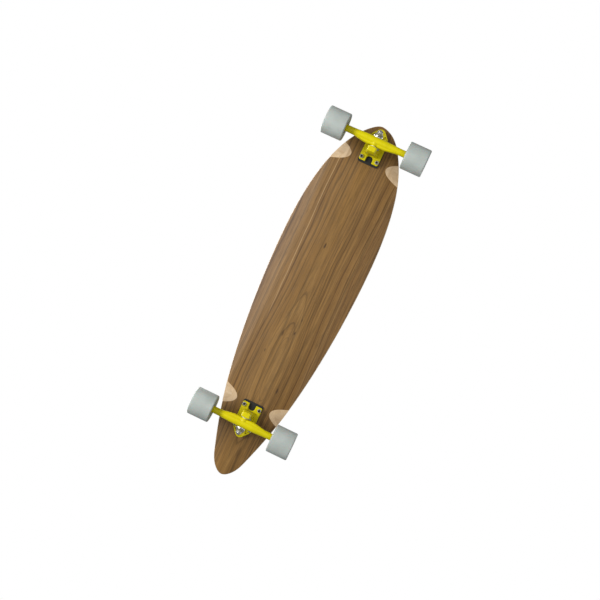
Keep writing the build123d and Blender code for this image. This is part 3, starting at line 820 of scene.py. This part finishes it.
def mounting_bolts(end_name):
    """Countersunk socket bolts with threaded tips."""
    shape = bmesh.new()
    low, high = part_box(end_name + "_mounting_bolts")
    tip = high.z - low.z
    edge_width, edge_low, edge_high = BOLT_HEAD_EDGE
    for turn in bolt_frames(end_name):
        rings = [(hexagon(BOLT_SOCKET_FLATS - SOCKET_TAPER), BOLT_SOCKET_DEPTH)]
        rings += [(hexagon(BOLT_SOCKET_FLATS), SOCKET_TAPER), (SOCKET_MOUTH_RADIUS, 0.0)]
        rings += [(BOLT_HEAD_RADIUS - edge_width, 0.0)]
        rings += [(BOLT_HEAD_RADIUS, edge_low), (BOLT_HEAD_RADIUS, edge_high)]
        rings += [(BOLT_RADIUS, BOLT_HEAD_DEPTH)] + threaded_end(BOLT_RADIUS, BOLT_THREAD, tip)
        rings += [(BOLT_RADIUS - BOLT_TIP, tip)]
        skin(shape, rings, turn, 48)
    mesh = to_mesh(shape, end_name + "_mounting_bolts_mesh")
    new_piece(end_name + "_mounting_bolts_threaded", mesh, "board", "black_steel",
              stands_for=(end_name + "_mounting_bolts",))


def axle(end_name):
    """Plain steel rod with a thread and a centre mark at each end."""
    shape = bmesh.new()
    mark_mouth, mark_floor, mark_depth = CENTRE_MARK
    for side_name in SIDES:
        turn = axle_end_frame(end_name, side_name)
        _, tip, _ = span(end_name + "_axle", turn)
        half = [(AXLE_RADIUS, 0.0)] + threaded_end(AXLE_RADIUS, AXLE_THREAD, tip)
        half += [(AXLE_RADIUS - AXLE_TIP, tip), (mark_mouth, tip), (mark_floor, tip - mark_depth)]
        skin(shape, half, turn, 48)
    mesh = to_mesh(shape, end_name + "_axle_mesh")
    new_piece(end_name + "_axle_threaded", mesh, end_name + "_truck_hanger", "zinc_steel",
              stands_for=(end_name + "_axle",))


def bushings(end_name):
    """Barrel and cone bushings with moulded, slightly squeezed sides."""
    turn = kingpin_frame(end_name)
    bore = KINGPIN_RADIUS + BUSHING_PLAY
    low, high, radius = span(end_name + "_boardside_bushing", turn)
    middle = (low + high) / 2
    corners = [(bore, low, BUSHING_MOUTH)]
    for height, (inward, rounding) in zip((low, middle, high), BARREL_SIDE):
        corners.append((radius - inward, height, rounding))
    barrel = rounded(corners + [(bore, high, BUSHING_MOUTH)], 8)
    low, high, radius = span(end_name + "_roadside_bushing", turn)
    shoulder, shoulder_rounding = CONE_SHOULDER
    top_radius, top_rounding = CONE_TOP
    cone = rounded([(bore, low, BUSHING_MOUTH), (radius, low, CONE_FOOT),
                    (radius, low + shoulder, shoulder_rounding), (top_radius, high, top_rounding),
                    (bore, high, BUSHING_MOUTH)], 8)
    for name, profile in (("boardside_bushing", barrel), ("roadside_bushing", cone)):
        mesh = to_mesh(lathe(profile, turn, 72), end_name + "_" + name + "_mesh", 50)
        new_piece(end_name + "_" + name + "_moulded", mesh, "board", "bushing_urethane",
                  stands_for=(end_name + "_" + name,))


def speed_washers(end_name):
    """Thin washers with broken edges, each side of the bearings."""
    shape = bmesh.new()
    for side_name in SIDES:
        turn = axle_end_frame(end_name, side_name)
        _, outer, _ = span(end_name + "_speed_washers", turn)
        inner = outer - SPEED_WASHER - 2 * BEARING_WIDTH - BEARING_GAP
        for high in (outer, inner):
            low = high - SPEED_WASHER
            profile = rounded([(AXLE_RADIUS, low, 0.0001), (SPEED_WASHER_RADIUS, low, 0.0002),
                               (SPEED_WASHER_RADIUS, high, 0.0002), (AXLE_RADIUS, high, 0.0001)], 3)
            skin(shape, profile, turn, 64, loop=True)
    mesh = to_mesh(shape, end_name + "_speed_washers_mesh")
    new_piece(end_name + "_speed_washers_turned", mesh, end_name + "_truck_hanger", "zinc_steel",
              stands_for=(end_name + "_speed_washers",))


for end_name in ENDS:
    kingpin(end_name)
    nuts(end_name)
    mounting_bolts(end_name)
    axle(end_name)
    bushings(end_name)
    speed_washers(end_name)


# ---- wheels ----
def tyre(end_name, side_name):
    """Urethane tyre with rounded lips and a stepped, moulded dish on each side."""
    prefix = end_name + "_" + side_name + "_"
    turn = wheel_frame(end_name, side_name)
    low, high, radius = span(prefix + "wheel_tyre", turn)
    corners = []
    for face, inward in ((low, 1), (high, -1)):
        core_face = -inward * CORE_HALF_WIDTH
        side = [(CORE_RADIUS, core_face, 0), (TYRE_MOUTH, core_face, 0.0004)]
        side += [(reach, face + inward * depth, rounding) for reach, depth, rounding in TYRE_STEPS]
        side += [(radius, face, LIP_RADIUS)]
        corners += side if inward == 1 else reversed(side)
    mesh = to_mesh(lathe(rounded(corners), turn, 128), prefix + "tyre_mesh", 50)
    new_piece(prefix + "tyre", mesh, prefix + "wheel", "wheel_urethane",
              stands_for=(prefix + "wheel_tyre",))


def core(end_name, side_name):
    """Moulded core with a rounded mouth and a shallow groove round each bearing."""
    prefix = end_name + "_" + side_name + "_"
    turn = wheel_frame(end_name, side_name)
    face = CORE_HALF_WIDTH
    stop = BEARING_GAP / 2
    half = [(BEARING_RADIUS, stop, 0), (BEARING_RADIUS, face, BEARING_SEAT_EDGE)]
    half += [(reach, face - depth, rounding) for reach, depth, rounding in CORE_GROOVE]
    half += [(CORE_RADIUS, face, 0)]
    corners = [(CORE_BORE, stop, BEARING_SEAT_EDGE)]
    corners += half + [(r, -z, c) for r, z, c in reversed(half)]
    corners += [(CORE_BORE, -stop, BEARING_SEAT_EDGE)]
    mesh = to_mesh(lathe(rounded(corners, 3), turn, 96), prefix + "core_mesh", 40)
    new_piece(prefix + "core", mesh, prefix + "wheel", "wheel_core", stands_for=(prefix + "wheel_core",))


def ball_groove(steps=10):
    """Arc that the balls run in, cut into the outer race's bore."""
    reach = math.acos((RACE_BORE - BALL_PITCH_RADIUS) / GROOVE_RADIUS)
    angles = [reach * (1 - 2 * step / steps) for step in range(steps + 1)]
    return [(BALL_PITCH_RADIUS + GROOVE_RADIUS * math.cos(angle), GROOVE_RADIUS * math.sin(angle), 0)
            for angle in angles]


def bearings(end_name, side_name):
    """Outer races with broken edges, and rubber seals with a pressed step."""
    prefix = end_name + "_" + side_name + "_"
    turn = wheel_frame(end_name, side_name)
    races = bmesh.new()
    seals = bmesh.new()
    for side in (1, -1):
        middle = side * (BEARING_GAP + BEARING_WIDTH) / 2
        half = BEARING_WIDTH / 2
        profile = [(BEARING_RADIUS, -half, RACE_EDGE), (BEARING_RADIUS, half, RACE_EDGE)]
        profile += [(RACE_BORE, half, RACE_BORE_EDGE)] + ball_groove()
        profile += [(RACE_BORE, -half, RACE_BORE_EDGE)]
        skin(races, [(r, middle + z) for r, z in rounded(profile, 4)], turn, 96, loop=True)
        for face in (1, -1):
            skin(seals, [(r, middle + face * z) for r, z in SEAL], turn, 72, loop=True)
    new_piece(prefix + "bearing_races_ground", to_mesh(races, prefix + "races_mesh"), prefix + "wheel",
              "bearing_steel", stands_for=(prefix + "bearing_outer_races",))
    new_piece(prefix + "bearing_seals", to_mesh(seals, prefix + "seals_mesh"), prefix + "wheel",
              "bearing_shield", stands_for=(prefix + "bearing_shields",))


for end_name in ENDS:
    for side_name in SIDES:
        tyre(end_name, side_name)
        core(end_name, side_name)
        bearings(end_name, side_name)

# ---- CAD nodes that stay as they are ----
for subpart in frame["record"]["subparts"]:
    slot = subpart["material_slot"]
    paint(nodes[subpart["node"]], "maple_long" if slot == "maple" else slot)


# ---- stage, light and camera ----
def floor():
    """Pale floor that melts into the white room. It shows from above only, so that the underside can be
    seen from below it."""
    mesh = bpy.data.meshes.new("floor")
    reach = FLOOR_REACH
    corners = [(-reach, -reach, 0), (reach, -reach, 0), (reach, reach, 0), (-reach, reach, 0)]
    mesh.from_pydata(corners, [], [(0, 1, 2, 3)])
    made = bpy.data.materials.new("floor")
    made.use_nodes = True
    tree = made.node_tree
    tree.nodes.clear()
    pale = add(tree, "BsdfDiffuse", Color=(0.82, 0.82, 0.82, 1))
    clear = add(tree, "BsdfTransparent")
    side = add(tree, "NewGeometry", out=6)
    distance = add(tree, "VectorMath", out=1, settings={"operation": "LENGTH"}, Vector=place(tree))
    fade = remap(tree, distance, FLOOR_FADE_START, FLOOR_FADE_END)
    both = add(tree, "MixShader", Fac=math_node(tree, "MAXIMUM", side, fade))
    tree.links.new(pale, both.node.inputs[1])
    tree.links.new(clear, both.node.inputs[2])
    output = tree.nodes.new("ShaderNodeOutputMaterial")
    tree.links.new(both, output.inputs[0])
    mesh.materials.append(made)
    ground = bpy.data.objects.new("floor", mesh)
    bpy.context.scene.collection.objects.link(ground)
    ground.visible_shadow = False
    ground.visible_diffuse = False
    ground.visible_glossy = False


def soft_light(name, spot, length, width, power):
    """Softbox that faces the board, its length along the board."""
    light = bpy.data.lights.new(name, "AREA")
    light.shape = "RECTANGLE"
    light.size = length
    light.size_y = width
    light.energy = power
    lamp = bpy.data.objects.new(name, light)
    lamp.location = spot
    lamp.rotation_euler = (LIGHT_TARGET - Vector(spot)).to_track_quat("-Z", "Y").to_euler()
    lamp.visible_camera = False
    bpy.context.scene.collection.objects.link(lamp)


def white_room(strength):
    """Even light from all round, and a white backdrop for the camera."""
    world = bpy.data.worlds.new("room")
    world.use_nodes = True
    tree = world.node_tree
    tree.nodes.clear()
    backdrop = add(tree, "LightPath")
    level = math_node(tree, "MULTIPLY_ADD", backdrop, 1.0 - strength, strength)
    background = add(tree, "Background", Color=(1, 1, 1, 1), Strength=level)
    output = tree.nodes.new("ShaderNodeOutputWorld")
    tree.links.new(background, output.inputs[0])
    bpy.context.scene.world = world


def camera():
    """Camera below the board, looking up at its underside."""
    data = bpy.data.cameras.new("camera")
    data.lens = CAMERA_LENS
    data.sensor_width = 36
    data.clip_end = 100
    eye = bpy.data.objects.new("camera", data)
    back = -CAMERA_FORWARD.normalized()
    right = CAMERA_UP.cross(back).normalized()
    up = back.cross(right)
    turn = Matrix((right, up, back)).transposed().to_4x4()
    eye.matrix_world = Matrix.Translation(CAMERA_PLACE) @ turn
    bpy.context.scene.collection.objects.link(eye)
    bpy.context.scene.camera = eye


floor()
white_room(strength=0.26)
soft_light("key", spot=(0.15, -2.2, -2.0), length=2.4, width=0.8, power=90)
soft_light("fill_below", spot=(0.1, -0.45, -2.7), length=2.0, width=0.6, power=6)
soft_light("fill_side", spot=(0.1, 0.9, -1.7), length=2.0, width=0.6, power=8)
soft_light("top", spot=(0.2, -1.5, 2.3), length=2.4, width=1.4, power=75)
soft_light("top_back", spot=(-0.2, 1.8, 2.0), length=2.4, width=1.2, power=28)
camera()
bpy.context.scene.view_settings.view_transform = "Standard"
